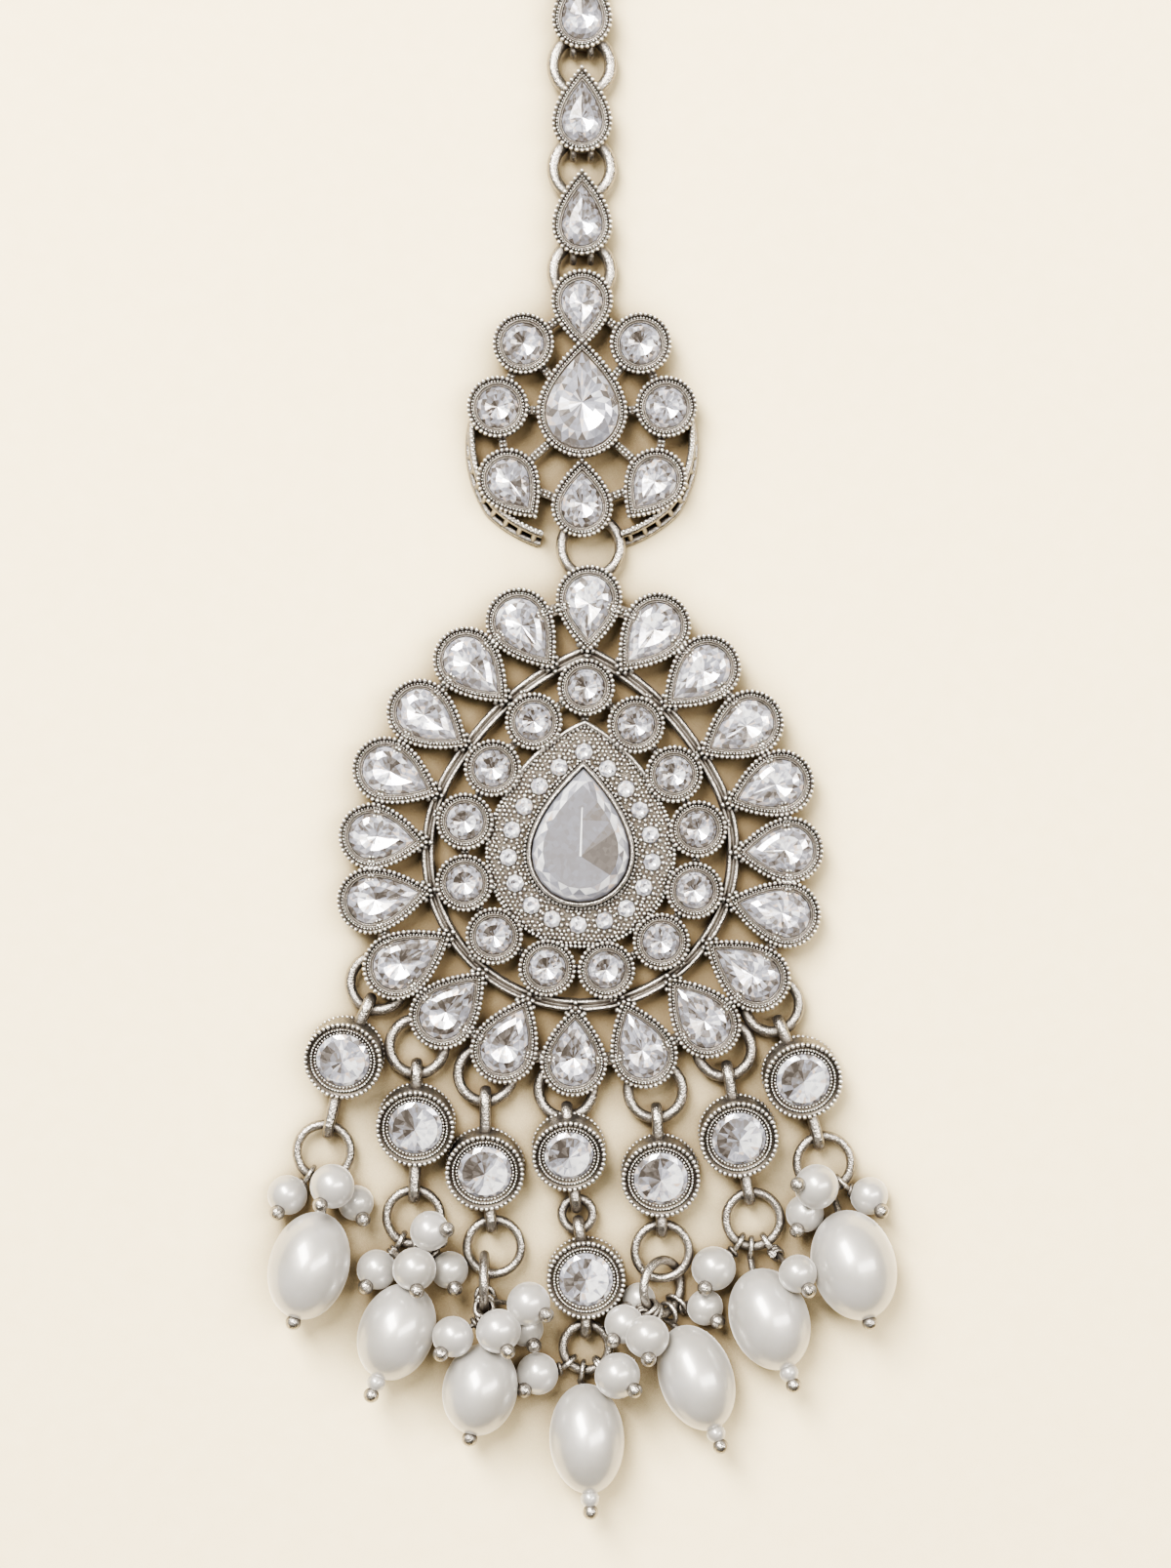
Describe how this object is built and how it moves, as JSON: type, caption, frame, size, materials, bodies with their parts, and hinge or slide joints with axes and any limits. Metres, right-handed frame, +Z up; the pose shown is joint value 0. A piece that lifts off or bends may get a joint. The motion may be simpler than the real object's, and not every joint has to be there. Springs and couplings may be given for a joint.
{
  "type": "maang tikka",
  "caption": "Forehead ornament lying flat: a stone-set chain with a hair hook, a pierced leaf, a large teardrop pendant and a fringe of stone charms and pearls.",
  "frame": {"origin": "middle of the overall box, on the surface that the piece rests on", "axes": "+Y along the chain towards the hair hook, +Z up from the surface, out of the pendant's face"},
  "size_m": [0.0606, 0.1696, 0.0085],
  "materials": {
    "silver": "polished white metal, darkened in the recesses",
    "crystal": "cut clear stones, backed with foil, in one piece with their settings",
    "pearl": "lustrous white pearl"
  },
  "bodies": {
    "root": {"chain_link_1": "silver", "chain_link_2": "silver", "chain_link_3": "silver", "chain_ring_1": "silver", "chain_ring_2": "silver", "chain_ring_3": "silver", "charm_a": "silver", "charm_b": "silver", "charm_c": "silver", "charm_d1": "silver", "charm_d2": "silver", "charm_e": "silver", "charm_f": "silver", "charm_g": "silver", "cluster_a": "pearl", "cluster_b": "pearl", "cluster_c": "pearl", "cluster_d": "pearl", "cluster_e": "pearl", "cluster_f": "pearl", "cluster_g": "pearl", "hair_hook": "silver", "hook_ring": "silver", "leaf_centre_stone": "crystal", "leaf_frame": "silver", "oval_a": "pearl", "oval_b": "pearl", "oval_c": "pearl", "oval_d": "pearl", "oval_e": "pearl", "oval_f": "pearl", "oval_g": "pearl", "pendant_centre_stone": "crystal", "pendant_frame": "silver", "ring_a": "silver", "ring_b": "silver", "ring_c1": "silver", "ring_c2": "silver", "ring_d": "silver", "ring_d_between": "silver", "ring_e1": "silver", "ring_e2": "silver", "ring_f": "silver", "ring_g": "silver"}
  },
  "joints": []
}
